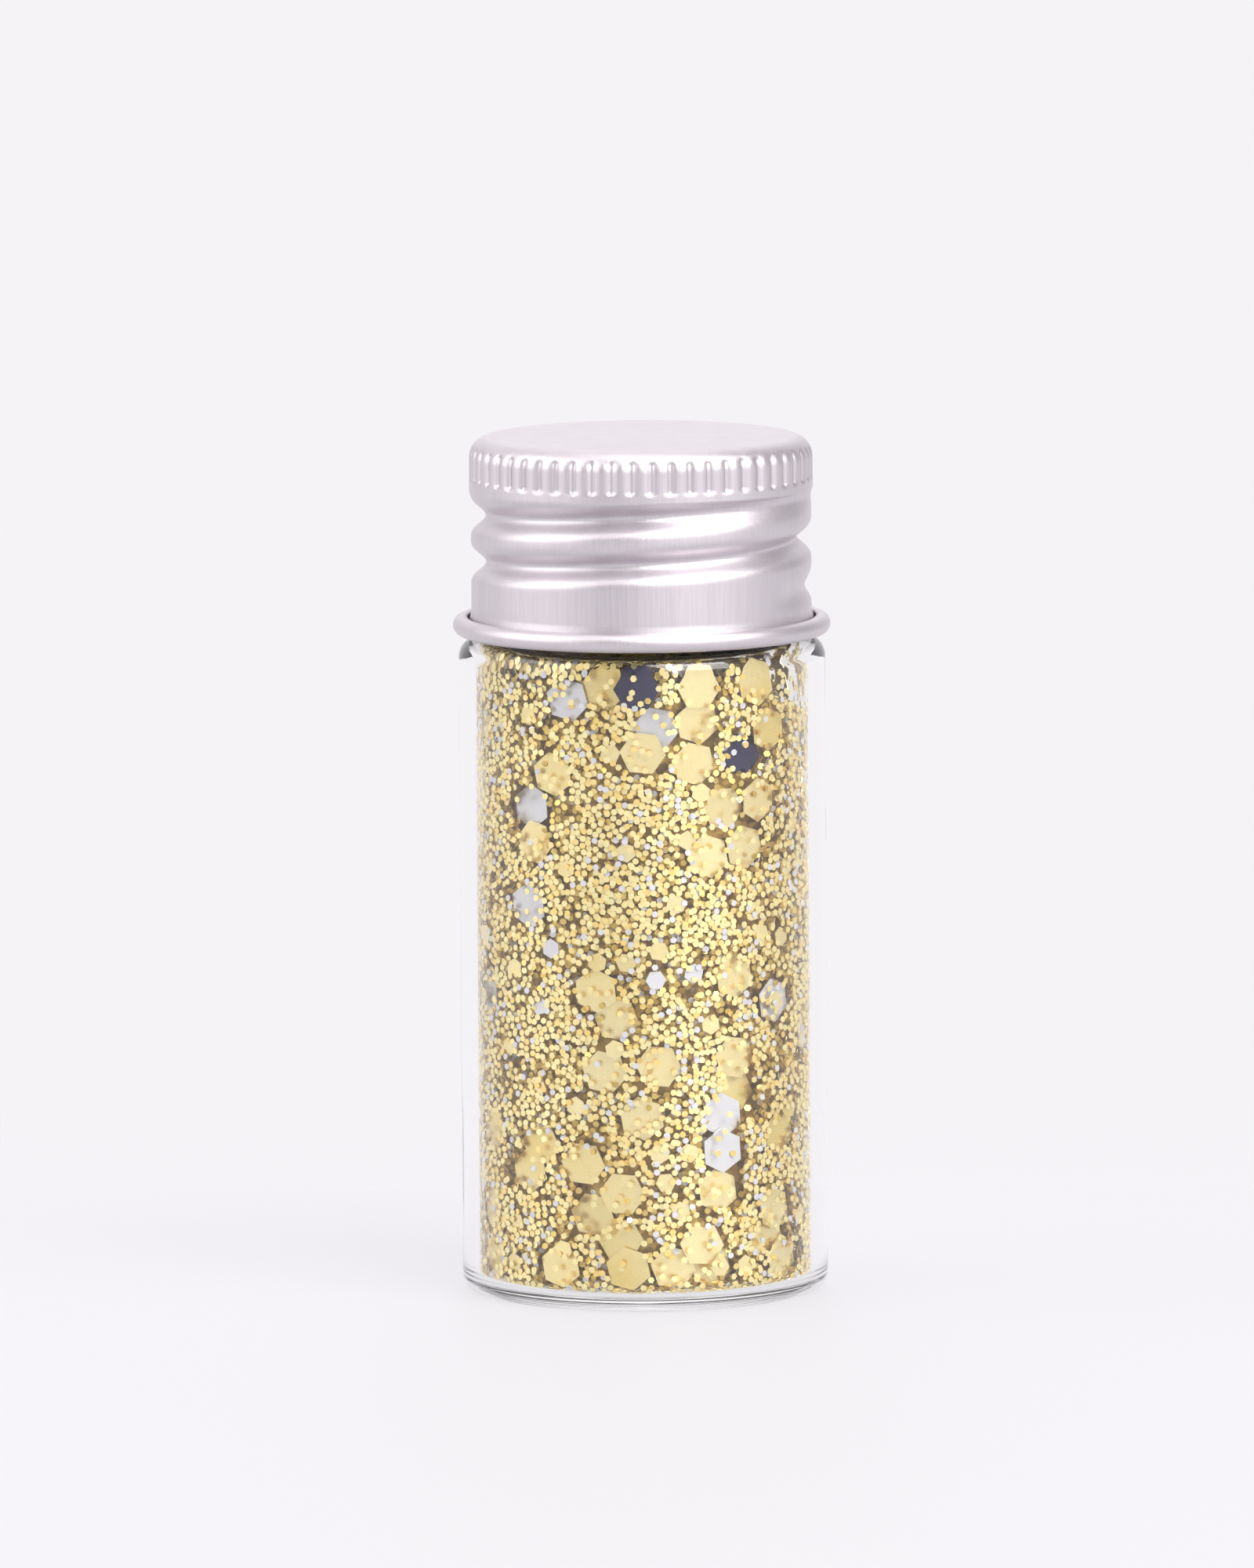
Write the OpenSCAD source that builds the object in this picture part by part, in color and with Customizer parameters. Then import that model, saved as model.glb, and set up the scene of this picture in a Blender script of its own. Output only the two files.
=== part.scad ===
// Screw-capped glass sample vial, filled with hexagonal glitter flakes.
// Millimetres, +Z up, origin at the middle of the base. The thread is right-handed.

/* [Bottle] */
// Outside diameter of the glass body
vial_d = 22; // [18.5:0.5:40]
// Height of the bottle, from its base to its rim
vial_h = 50; // [36:1:90]
// Thickness of the body wall
glass_wall = 1; // [0.8:0.1:1.5]
// Thickness of the floor
base_t = 0.8; // [0.7:0.1:2.5]
// Height of the hollow under the floor
push_up = 0.3; // [0.1:0.05:0.5]
// Radius of the corner between the base and the wall
base_corner_r = 1; // [0.5:0.1:2]
// Radius of the same corner on the inside
inner_corner_r = 0.7; // [0.4:0.1:2]
// Radius of the shoulder
shoulder_r = 1.3; // [0.5:0.1:3]
// Thickness of the glass across the shoulder
shoulder_wall = 0.6; // [0.5:0.05:1]

/* [Neck] */
// Outside diameter of the neck
neck_d = 17.8; // [14:0.1:21.4]
// Thickness of the neck wall
neck_wall = 1.2; // [1:0.1:1.6]
// Height of the neck, from the shoulder to the rim
neck_h = 10.5; // [9.5:0.1:13]
// Radius of the rounded rim
rim_r = 0.4; // [0.2:0.05:0.5]

/* [Thread] */
// Rise of the thread in one turn
lead = 2.8; // [2.4:0.1:3.4]
// How far the glass thread stands out of the neck
glass_thread_out = 0.65; // [0.4:0.05:0.8]
// Width of the glass thread where it meets the neck
glass_thread_w = 1.3; // [0.8:0.1:1.5]
// Turns of the glass thread
glass_thread_turns = 1.5; // [1:0.25:2]
// Height from the rim down to the middle of the glass thread's top end
glass_thread_drop = 1.2; // [1.1:0.1:1.6]
// Depth of the groove that is rolled into the cap
groove_out = 0.9; // [0.6:0.05:1]
// Width of the rolled groove
groove_w = 2.7; // [2:0.1:2.8]
// Height from the rim down to the groove, where its first turn starts
groove_drop = 7.4; // [7:0.1:8]

/* [Cap] */
// Thickness of the cap's sheet
sheet = 0.25; // [0.2:0.05:0.3]
// Radius of the cap's top edge
cap_edge_r = 1.25; // [0.8:0.05:1.5]
// Height of the knurled band
knurl_h = 1.9; // [1.2:0.1:2.5]
// Flutes around the knurled band
knurl_count = 54; // [36:1:72]
// Depth of the flutes
knurl_depth = 0.25; // [0.1:0.05:0.3]
// How far the knurled band stands proud of the threaded skirt
knurl_proud = 0.1; // [0:0.05:0.3]
// Diameter of the roll of sheet at the cap's open end
roll_d = 1.15; // [0.9:0.05:1.4]
// Height from the shoulder of the bottle to the roll
roll_gap = 0.12; // [0.1:0.01:0.5]
// Thickness of the sealing disc
liner_t = 1.25; // [0.8:0.05:1.6]

/* [Clearances] */
// Between the neck and the groove in the cap
neck_gap = 0.15; // [0.1:0.01:0.3]
// Between the sealing disc and the edge of the cap's top
liner_gap = 0.05; // [0.02:0.01:0.2]
// Between the glass and the flakes
flake_gap = 0.1; // [0.05:0.01:0.3]

/* [Flakes] */
// Depth of the layer of separate flakes in front of the bulk
layer_t = 1.25; // [1.25:0.05:1.5]
// Fall of the top of the bulk, towards +X
fill_tilt = 5; // [0:1:10]
// Distance across a large flake, corner to corner
large_w = 2.7; // [2:0.1:2.8]
// Distance across a medium flake, corner to corner
medium_w = 1.2; // [0.8:0.1:1.3]
// Thickness of a flake
flake_t = 0.05; // [0.04:0.01:0.1]
// Seed of the lean of each flake
flake_seed = 7; // [1:1:99]

/* [Hidden] */

FINE = 180;        // facets of a round that is shown
ARC_STEP = 15;     // degrees between the points of a small arc
COPIES = 3;        // times the flakes that are placed by eye go round the wall
LANES = 3;         // depths at which a large flake can lie

// Glass
vial_r = vial_d / 2;
neck_r = neck_d / 2;
bore_r = neck_r - neck_wall;
shoulder_z = vial_h - neck_h;
inner_r = vial_r - glass_wall;
step_w = vial_r - neck_r;
shoulder_arc = min(shoulder_r, 0.7 * step_w);
neck_fillet = min(0.4, 0.25 * step_w);
roof_z = shoulder_z - shoulder_wall;
roof_arc = min(0.5, 0.25 * (inner_r - bore_r));
throat_arc = min(0.8, 0.5 * (inner_r - bore_r));
foot_in_r = vial_r - base_corner_r - 1.2;

// Cap, from the inside out
groove_r = neck_r + neck_gap + sheet;
skirt_r = groove_r + groove_out;
band_r = skirt_r + knurl_proud;
cap_top = vial_h + liner_t + sheet;
band_top = cap_top - cap_edge_r;
band_bottom = band_top - knurl_h;
knurl_ramp = 0.3;
roll_flare = 0.22;
edge_c = band_r - cap_edge_r;
roll_z = shoulder_z + roll_gap + roll_d / 2;
roll_c = skirt_r + roll_flare + roll_d / 2 - sheet;
skirt_end = roll_z + roll_d / 2 + 0.3;
groove_z = vial_h - groove_drop;
groove_first = -41;
groove_last = 360 * (band_bottom - 0.1 - groove_z) / lead;
groove_fade_in = 82;
groove_fade_out = 100;
COLUMNS = 2 * knurl_count;
OUTER_ROWS = 16;
INNER_ROWS = 12;

// Glass thread: it sits in the open half of the cap's thread, just above the groove
thread_z = groove_z + 0.45 * lead;
thread_last = 360 * (vial_h - glass_thread_drop - thread_z) / lead;
thread_first = thread_last - 360 * glass_thread_turns;
thread_taper = 40;
thread_root = 0.4;
thread_sunk = 0.15;
crest_w = 0.22 * glass_thread_w;
root_w = glass_thread_w / 2 + thread_root * (glass_thread_w / 2 - crest_w) / glass_thread_out;

// Flakes
bulk_r = inner_r - layer_t;
bulk_top = roof_z - flake_gap - bulk_r * tan(fill_tilt);
medium_r = inner_r - 0.2;
large_r = inner_r - 0.5;
lane_t = 0.3;
flake_low = base_t + large_w / 2 + 0.4;
flake_high = roof_z - large_w / 2 - 0.2;

// Points of an arc about (x, z), from angle a to angle b
function arc(x, z, r, a, b) =
    let (n = max(1, ceil(abs(b - a) / ARC_STEP)))
    [for (i = [0:n]) let (t = a + (b - a) * i / n) [x + r * cos(t), z + r * sin(t)]];

function clamp01(x) = min(1, max(0, x));

// ---------------------------------------------------------------- glass

// Half section of the bottle: up the outside, over the rim and down the inside
function glass_section() = concat(
    [[0, push_up], [foot_in_r, 0]],
    arc(vial_r - base_corner_r, base_corner_r, base_corner_r, -90, 0),
    arc(vial_r - shoulder_arc, shoulder_z - shoulder_arc, shoulder_arc, 0, 90),
    arc(neck_r + neck_fillet, shoulder_z + neck_fillet, neck_fillet, 270, 180),
    arc(neck_r - rim_r, vial_h - rim_r, rim_r, 0, 90),
    arc(bore_r + rim_r, vial_h - rim_r, rim_r, 90, 180),
    arc(bore_r + throat_arc, roof_z + throat_arc, throat_arc, 180, 270),
    arc(inner_r - roof_arc, roof_z - roof_arc, roof_arc, 90, 0),
    arc(inner_r - inner_corner_r, base_t + inner_corner_r, inner_corner_r, 0, -90),
    [[0, base_t]]
);

// One cross-section of the glass thread at angle a, sunk into the neck at its two ends
function thread_ring(a) =
    let (rise = min(clamp01((a - thread_first) / thread_taper), clamp01((thread_last - a) / thread_taper)),
         in = neck_r - thread_root,
         out = neck_r - thread_sunk + (glass_thread_out + thread_sunk) * rise,
         z = thread_z + lead * a / 360)
    [for (p = [[in, -root_w], [out, -crest_w], [out, crest_w], [in, root_w]])
        [p[0] * cos(a), p[0] * sin(a), z + p[1]]];

module glass_thread() {
    step = 12;
    rings = ceil((thread_last - thread_first) / step);
    points = [for (i = [0:rings]) each thread_ring(thread_first + (thread_last - thread_first) * i / rings)];
    sides = [for (i = [0:rings - 1], k = [0:3])
        let (a = 4 * i + k, b = 4 * i + (k + 1) % 4) each [[a, b, b + 4], [a, b + 4, a + 4]]];
    ends = [for (k = [1:2]) each [[0, k + 1, k], [4 * rings, 4 * rings + k, 4 * rings + k + 1]]];
    polyhedron(points = points, faces = concat(sides, ends), convexity = 6);
}

module glass_vial() {
    color([0.9, 0.95, 0.95, 0.35]) {
        union() {
            rotate_extrude($fn = FINE) polygon(glass_section());
            glass_thread();
        }
    }
}

// ---------------------------------------------------------------- cap

// How much of the groove there is after turning through angle a from its zero
function groove_fade(a) =
    min(clamp01((a - groove_first) / groove_fade_in), clamp01((groove_last - a) / groove_fade_out));

// Depth of the groove across its width, at height d from its bottom
function groove_shape(d) =
    abs(d) >= groove_w / 2 ? 0 : pow(0.5 + 0.5 * cos(360 * d / groove_w), 1.6);

// Depth of the groove at an angle and a height on the skirt
function groove_at(angle, z) = groove_out * max([for (turn = [-1:3])
    let (a = angle + 360 * turn) groove_fade(a) * groove_shape(z - groove_z - lead * a / 360)]);

function skirt_at(angle, z) = let (up = clamp01((z - band_bottom + 0.5) / 0.5))
    skirt_r + knurl_proud * up - groove_at(angle, z);

// Outside of the cap at one column, from the edge of its top down and round into the roll
function cap_outside(angle, flute) = concat(
    [for (t = [90, 60, 30, 0]) [edge_c + cap_edge_r * cos(t), band_top + cap_edge_r * sin(t)]],
    [for (z = [band_top - knurl_ramp, band_bottom + knurl_ramp])
        [min(band_r, band_r - knurl_depth * flute), z]],
    [for (i = [0:OUTER_ROWS - 1]) let (z = band_bottom + (skirt_end - band_bottom) * i / (OUTER_ROWS - 1))
        [skirt_at(angle, z), z]],
    [for (t = [180:60:480]) let (r = roll_d / 2 - sheet) [roll_c + r * cos(t), roll_z + r * sin(t)]]
);

// Inside of the cap at one column, from the tip of the roll back up to the top
function cap_inside(angle) = concat(
    [for (t = [480:-60:180]) [roll_c + roll_d / 2 * cos(t), roll_z + roll_d / 2 * sin(t)]],
    [for (i = [INNER_ROWS - 1:-1:0]) let (z = band_bottom + (skirt_end - band_bottom) * i / (INNER_ROWS - 1))
        [skirt_at(angle, z) - sheet, z]],
    [[band_r - knurl_depth - sheet, band_bottom + knurl_ramp],
     [band_r - knurl_depth - sheet, band_top - knurl_ramp]],
    [for (t = [30, 90]) let (r = cap_edge_r - sheet) [edge_c + r * cos(t), band_top + r * sin(t)]]
);

module screw_cap() {
    columns = [for (i = [0:COLUMNS - 1]) let (angle = 360 * i / COLUMNS)
        [for (p = concat(cap_outside(angle, i % 2), cap_inside(angle)))
            [p[0] * cos(angle), p[0] * sin(angle), p[1]]]];
    rows = len(columns[0]);
    last = COLUMNS * rows;
    points = concat([for (c = columns) each c], [[0, 0, cap_top], [0, 0, cap_top - sheet]]);
    walls = [for (i = [0:COLUMNS - 1], j = [0:rows - 2])
        let (a = i * rows + j, b = (i + 1) % COLUMNS * rows + j)
        each [[a, b, b + 1], [a, b + 1, a + 1]]];
    ends = [for (i = [0:COLUMNS - 1]) let (a = i * rows, b = (i + 1) % COLUMNS * rows)
        each [[last, b, a], [last + 1, a + rows - 1, b + rows - 1]]];
    color([0.85, 0.84, 0.87]) polyhedron(points = points, faces = concat(walls, ends), convexity = 8);
}

module sealing_disc() {
    r = edge_c - liner_gap;
    c = 0.1;
    color([0.93, 0.93, 0.9]) translate([0, 0, vial_h]) rotate_extrude($fn = FINE)
        polygon([[0, 0], [r - c, 0], [r, c], [r, liner_t - c], [r - c, liner_t], [0, liner_t]]);
}

// ---------------------------------------------------------------- flakes

module flake_bulk() {
    corner = inner_corner_r + flake_gap;
    color([0.72, 0.6, 0.25]) difference() {
        rotate_extrude($fn = FINE) polygon(concat(
            [[0, base_t + flake_gap], [bulk_r - corner, base_t + flake_gap]],
            arc(bulk_r - corner, base_t + flake_gap + corner, corner, -90, 0),
            [[bulk_r, roof_z], [0, roof_z]]
        ));
        translate([0, 0, bulk_top]) rotate([0, fill_tilt, 0])
            translate([-2 * vial_r, -2 * vial_r, 0]) cube([4 * vial_r, 4 * vial_r, vial_h]);
    }
}

GOLD = 0;
SILVER = 1;
DARK = 2;

// Large flakes placed by eye on the front: [angle from +X, share of the height, kind, turn]
BIG = [
    [268, 1.00, DARK, 30], [256, 1.00, GOLD, 15], [290, 1.00, GOLD, 27], [290, 0.94, GOLD, 10],
    [270, 0.89, GOLD, 25], [275, 0.93, SILVER, 20], [243, 0.98, SILVER, 15], [313, 1.00, GOLD, 10],
    [319, 0.92, GOLD, 5], [308, 0.88, DARK, 20], [237, 0.85, GOLD, 10], [226, 0.79, SILVER, 5],
    [229, 0.73, GOLD, 20], [314, 0.80, GOLD, 0], [288, 0.87, GOLD, 15], [300, 0.79, GOLD, 28],
    [293, 0.71, GOLD, 10], [309, 0.72, GOLD, 12], [226, 0.62, SILVER, 5], [253, 0.48, GOLD, 5],
    [260, 0.43, GOLD, 20], [275, 0.35, GOLD, 25], [256, 0.34, GOLD, 18], [269, 0.26, GOLD, 10],
    [303, 0.50, GOLD, 5], [321, 0.45, SILVER, 10], [303, 0.36, GOLD, 20], [298, 0.20, SILVER, 3],
    [299, 0.26, SILVER, 3], [305, 0.30, GOLD, 25], [297, 0.13, GOLD, 5], [321, 0.09, GOLD, 8],
    [324, 0.22, GOLD, 5], [314, 0.24, GOLD, 12], [231, 0.21, GOLD, 27], [248, 0.18, GOLD, 25],
    [224, 0.16, GOLD, 10], [262, 0.13, GOLD, 25], [261, 0.05, GOLD, 30], [264, 0.00, GOLD, 12],
    [250, 0.09, GOLD, 20], [290, 0.04, GOLD, 25], [280, 0.00, GOLD, 20], [295, 0.00, GOLD, 10],
    [239, 0.00, GOLD, 10], [319, 0.04, GOLD, 25], [325, 0.00, GOLD, 20]
];

// Medium flakes placed by eye on the front: [angle from +X, share of the height, kind]
SMALL = [
    [259, 0.89, GOLD], [228, 0.95, GOLD], [214, 0.93, GOLD], [212, 0.96, GOLD], [290, 0.82, GOLD],
    [285, 0.74, GOLD], [264, 0.72, GOLD], [221, 0.51, GOLD], [254, 0.53, GOLD], [264, 0.53, GOLD],
    [260, 0.38, GOLD], [267, 0.38, GOLD], [275, 0.55, GOLD], [313, 0.57, GOLD], [323, 0.56, GOLD],
    [310, 0.61, GOLD], [293, 0.42, GOLD], [287, 0.43, GOLD], [320, 0.45, GOLD], [231, 0.31, GOLD],
    [210, 0.25, GOLD], [221, 0.07, GOLD], [241, 0.03, GOLD], [220, 0.00, GOLD], [327, 0.26, GOLD],
    [296, 0.00, GOLD], [306, 0.00, GOLD], [282, 0.10, GOLD], [275, 0.20, GOLD], [285, 0.20, GOLD],
    [277, 0.15, GOLD], [232, 0.45, SILVER], [274, 0.50, SILVER], [287, 0.51, SILVER],
    [217, 0.37, GOLD], [237, 0.55, SILVER], [243, 0.69, GOLD], [281, 0.63, GOLD], [326, 0.68, GOLD],
    [246, 0.28, GOLD]
];

// The whole wall: the front again and again, every other time upside down
function all_round(places) = [for (copy = [0:COPIES - 1], p = places)
    let (share = copy % 2 == 0 ? p[1] : 1 - p[1])
    [p[0] + copy * 360 / COPIES, flake_low + (flake_high - flake_low) * share, p[2], p[3]]];

// Distance over the wall between two flakes, given as [angle, height]
function apart(a, b) = let (turn = abs(((a[0] - b[0]) % 360 + 540) % 360 - 180))
    norm([turn * PI / 180 * large_r, a[1] - b[1]]);

// Lane of each flake: the first that no earlier flake it would touch lies in, or LANES if all are taken
function lanes(places, width, found = []) =
    len(found) == len(places) ? found : let (
        i = len(found),
        near = [for (j = [0:1:i - 1]) if (apart(places[j], places[i]) < width) found[j]],
        free = [for (lane = [0:LANES - 1]) if (len(search(lane, near)) == 0) lane]
    ) lanes(places, width, concat(found, [len(free) > 0 ? free[0] : LANES]));

big_places = all_round(BIG);
big_lanes = lanes(big_places, large_w + 0.1);
small_places = all_round(SMALL);
small_lanes = lanes(small_places, medium_w + 0.1);
leans = rands(-1, 1, 3 * (len(big_places) + len(small_places)), flake_seed);

// A thin hexagon that lies along the wall at radius r, with a little lean of its own
module flake(place, r, width, turn, lean, draw) {
    rotate([0, 0, place[0]]) translate([r, 0, place[1]])
        rotate([lean * leans[draw], 90 + lean * leans[draw + 1], 0])
            rotate([0, 0, turn]) cylinder(d = width, h = flake_t, center = true, $fn = 6);
}

module big_flakes(kind) {
    for (i = [0:len(big_places) - 1])
        if (big_places[i][2] == kind && big_lanes[i] < LANES)
            flake(big_places[i], large_r - big_lanes[i] * lane_t, large_w, big_places[i][3], 3, 3 * i);
}

// Medium flakes lie in front of the large ones, so only their first lane is used
module medium_flakes(kind) {
    for (i = [0:len(small_places) - 1])
        let (draw = 3 * (len(big_places) + i))
            if (small_places[i][2] == kind && small_lanes[i] == 0)
                flake(small_places[i], medium_r, medium_w, 30 * leans[draw + 2], 3, draw);
}

module gold_flakes_large() { color([0.93, 0.82, 0.45]) big_flakes(GOLD); }
module silver_flakes_large() { color([0.9, 0.9, 0.93]) big_flakes(SILVER); }
module dark_flakes_large() { color([0.2, 0.2, 0.32]) big_flakes(DARK); }
module gold_flakes_medium() { color([0.9, 0.78, 0.4]) medium_flakes(GOLD); }
module silver_flakes_medium() { color([0.88, 0.88, 0.9]) medium_flakes(SILVER); }

glass_vial();
screw_cap();
sealing_disc();
flake_bulk();
gold_flakes_large();
silver_flakes_large();
dark_flakes_large();
gold_flakes_medium();
silver_flakes_medium();
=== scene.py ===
"""The looks of a screw-capped glass sample vial filled with hexagonal glitter flakes.

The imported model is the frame. The bottle, the cap and the fine flakes are built here in detail around it. The
large flakes and the sealing disc keep the frame's own shapes and get their finishes. Sizes are in millimetres
until a mesh is made, and in metres from then on.
"""

from __future__ import annotations

import logging
import math
from collections.abc import Callable, Iterable, Mapping, Sequence
from dataclasses import dataclass
from enum import Enum
from typing import Any, ClassVar

import bpy
from mathutils import Euler, Matrix, Vector


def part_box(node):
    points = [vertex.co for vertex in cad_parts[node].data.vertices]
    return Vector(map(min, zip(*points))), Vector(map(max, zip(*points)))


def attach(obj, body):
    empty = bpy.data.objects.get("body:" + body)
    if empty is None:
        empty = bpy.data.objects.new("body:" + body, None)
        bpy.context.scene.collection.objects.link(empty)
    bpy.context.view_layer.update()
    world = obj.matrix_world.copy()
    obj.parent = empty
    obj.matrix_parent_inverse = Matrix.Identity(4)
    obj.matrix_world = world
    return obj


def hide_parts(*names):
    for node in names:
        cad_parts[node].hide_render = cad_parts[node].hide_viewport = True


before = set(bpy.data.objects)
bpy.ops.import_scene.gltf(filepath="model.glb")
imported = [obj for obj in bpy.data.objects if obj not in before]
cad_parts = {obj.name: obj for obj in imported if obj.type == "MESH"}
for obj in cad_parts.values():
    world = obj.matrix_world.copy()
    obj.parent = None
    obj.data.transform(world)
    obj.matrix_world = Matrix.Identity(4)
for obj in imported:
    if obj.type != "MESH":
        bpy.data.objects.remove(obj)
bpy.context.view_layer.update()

MM = 0.001
TAU = 2 * math.pi
log = logging.getLogger("vial")

Point = tuple[float, float]
Colour = tuple[float, float, float]


# ---------------------------------------------------------------- node trees


class Sock:
    """A socket of a node tree that takes part in Python arithmetic, one Math node for each step."""

    def __init__(self, tree: Tree, socket: bpy.types.NodeSocket) -> None:
        """Keep the socket and the tree that its Math nodes go into."""
        self.tree = tree
        self.socket = socket

    def math(self, operation: str, *others: Sock | float) -> Sock:
        """A Math node on this socket.

        Args:
            operation: Blender's name of the operation.
            others: the node's second and third values or sockets.

        Returns:
            The node's result.
        """
        inputs = dict(enumerate((self, *others)))
        return self.tree.add("ShaderNodeMath", {"operation": operation}, inputs)

    def __add__(self, other: Sock | float) -> Sock:
        """self + other."""
        return self.math("ADD", other)

    def __sub__(self, other: Sock | float) -> Sock:
        """self - other."""
        return self.math("SUBTRACT", other)

    def __mul__(self, other: Sock | float) -> Sock:
        """self * other."""
        return self.math("MULTIPLY", other)

    def __truediv__(self, other: Sock | float) -> Sock:
        """self / other."""
        return self.math("DIVIDE", other)

    def __pow__(self, other: Sock | float) -> Sock:
        """self ** other."""
        return self.math("POWER", other)

    def __rtruediv__(self, other: float) -> Sock:
        """other / self."""
        return self.tree.add("ShaderNodeMath", {"operation": "DIVIDE"}, {0: other, 1: self})

    def __rsub__(self, other: float) -> Sock:
        """other - self."""
        return self.tree.add("ShaderNodeMath", {"operation": "SUBTRACT"}, {0: other, 1: self})

    __radd__ = __add__
    __rmul__ = __mul__

    def __lt__(self, other: Sock | float) -> Sock:
        """1 where self is below other, else 0."""
        return self.math("LESS_THAN", other)

    def __gt__(self, other: Sock | float) -> Sock:
        """1 where self is above other, else 0."""
        return self.math("GREATER_THAN", other)

    def smallest(self, other: Sock | float) -> Sock:
        """The smaller of two values."""
        return self.math("MINIMUM", other)

    def largest(self, other: Sock | float) -> Sock:
        """The larger of two values."""
        return self.math("MAXIMUM", other)

    def clamped(self, low: float = 0.0, high: float = 1.0) -> Sock:
        """The value held between low and high."""
        return self.largest(low).smallest(high)

    def ramp(self, low: float, high: float) -> Sock:
        """0 at low and 1 at high, held beyond them."""
        return ((self - low) / (high - low)).clamped()


class Tree:
    """A shader or geometry tree, with one method that adds any node."""

    def __init__(self, nodes: bpy.types.NodeTree) -> None:
        """Keep Blender's own tree."""
        self.nodes = nodes

    def add(
        self,
        kind: str,
        settings: Mapping[str, Any] | None = None,
        inputs: Mapping[str | int, Any] | None = None,
        output: str | int = 0,
    ) -> Sock:
        """Add a node, set it up, and fill or link its sockets.

        Args:
            kind: Blender's name of the node's type.
            settings: the node's own properties; "stops" gives a colour ramp's places and colours.
            inputs: socket name or number to a value or a Sock.
            output: name or number of the socket to return.

        Returns:
            The chosen output.
        """
        node = self.nodes.nodes.new(kind)
        for name, value in (settings or {}).items():
            if name == "stops":
                self._fill_ramp(node.color_ramp, value)
            else:
                setattr(node, name, value)
        for key, value in (inputs or {}).items():
            socket = self._socket(node.inputs, key)
            if isinstance(value, Sock):
                self.nodes.links.new(value.socket, socket)
            else:
                socket.default_value = value
        return Sock(self, self._socket(node.outputs, output))

    def axes(self, vector: Sock) -> list[Sock]:
        """A vector's X, Y and Z."""
        outputs = self.add("ShaderNodeSeparateXYZ", inputs={0: vector}).socket.node.outputs
        return [Sock(self, s) for s in outputs]

    def vector(self, operation: str, inputs: Mapping[str | int, Any]) -> Sock:
        """A Vector Math node that gives a vector."""
        return self.add("ShaderNodeVectorMath", {"operation": operation}, inputs, "Vector")

    def close(self, kind: str, entry: str, result: Sock) -> None:
        """Add the tree's output node, of a kind, and link the result to its entry socket."""
        node = self.nodes.nodes.new(kind)
        self.nodes.links.new(result.socket, node.inputs[entry])

    @staticmethod
    def _socket(sockets: Any, key: str | int) -> bpy.types.NodeSocket:
        """The socket of that number, or the enabled socket of that name."""
        named = [s for s in sockets if s.name == key and s.enabled]
        return named[0] if named else sockets[key]

    @staticmethod
    def _fill_ramp(ramp: bpy.types.ColorRamp, stops: Sequence[tuple[float, Colour]]) -> None:
        """Give a colour ramp its stops.

        Args:
            ramp: the ramp, which has fewer stops or as many.
            stops: place between 0 and 1, and colour.
        """
        while len(ramp.elements) < len(stops):
            ramp.elements.new(1.0)
        for element, (place, colour) in zip(ramp.elements, stops):
            element.position = place
            element.color = (*colour, 1.0)


class Shader(Tree):
    """A material with a Principled shader, and the textures that finishes share."""

    def __init__(self, name: str) -> None:
        """Start an empty material.

        Args:
            name: the material's name.
        """
        self.material = bpy.data.materials.new(name)
        self.material.use_nodes = True
        self.material.node_tree.nodes.clear()
        super().__init__(self.material.node_tree)

    def place(self) -> Sock:
        """Object coordinates, in metres."""
        return self.add("ShaderNodeTexCoord", output="Object")

    def stretched(self, scale: Sequence[float]) -> Sock:
        """Object coordinates scaled along each axis."""
        return self.add("ShaderNodeMapping", inputs={"Vector": self.place(), "Scale": tuple(scale)})

    def noise(self, vector: Sock, scale: float, detail: float = 2.0, roughness: float = 0.5) -> Sock:
        """Smooth noise between 0 and 1."""
        inputs = {"Vector": vector, "Scale": scale, "Detail": detail, "Roughness": roughness}
        return self.add("ShaderNodeTexNoise", inputs=inputs, output="Fac")

    def blend(self, factor: Sock | float, first: Any, second: Any) -> Sock:
        """Two colours mixed by a factor."""
        inputs = {"Factor": factor, "A": first, "B": second}
        return self.add("ShaderNodeMix", {"data_type": "RGBA"}, inputs, "Result")

    def tinted(self, factor: Sock, stops: Sequence[tuple[float, Colour]]) -> Sock:
        """A colour ramp read at factor."""
        return self.add("ShaderNodeValToRGB", {"stops": stops}, {"Fac": factor}, "Color")

    def bump(self, height: Sock, depth: float, strength: float = 1.0) -> Sock:
        """A normal bent by a height map that is depth metres deep."""
        inputs = {"Height": height, "Distance": depth, "Strength": strength}
        return self.add("ShaderNodeBump", inputs=inputs)

    def principled(self, inputs: Mapping[str | int, Any]) -> Sock:
        """A Principled shader."""
        return self.add("ShaderNodeBsdfPrincipled", inputs=inputs)

    def done(self, surface: Sock) -> bpy.types.Material:
        """The material, with this shader as its surface."""
        self.close("ShaderNodeOutputMaterial", "Surface", surface)
        return self.material


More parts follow.
